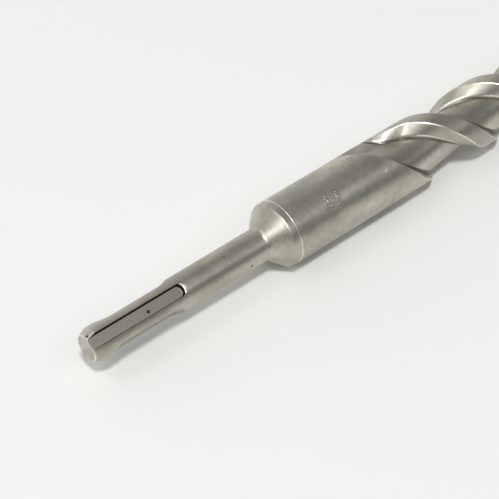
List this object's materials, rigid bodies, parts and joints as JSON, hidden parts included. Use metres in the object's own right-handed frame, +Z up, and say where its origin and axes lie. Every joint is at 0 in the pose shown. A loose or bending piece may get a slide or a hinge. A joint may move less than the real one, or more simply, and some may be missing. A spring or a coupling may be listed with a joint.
{
  "type": "sds-plus masonry drill bit",
  "caption": "Masonry drill bit: a slotted cylindrical shank, a cone up to a thicker round collar, helical flutes with a stepped edge and a hard plate across the head.",
  "frame": {"origin": "centre of the end face of the shank, on the tool's axis", "axes": "+X along the tool's axis from the shank to the drill point; +Z up, with the bit lying on its collar and lands; a flat facet of the collar looks straight down"},
  "size_m": [0.25, 0.02, 0.02],
  "materials": {
    "satin_steel": "blasted and oiled steel, warm grey satin",
    "sintered_carbide": "ground sintered carbide, dark matt grey"
  },
  "bodies": {
    "root": {"drill_body": "satin_steel", "carbide_tip": "sintered_carbide"}
  },
  "joints": []
}
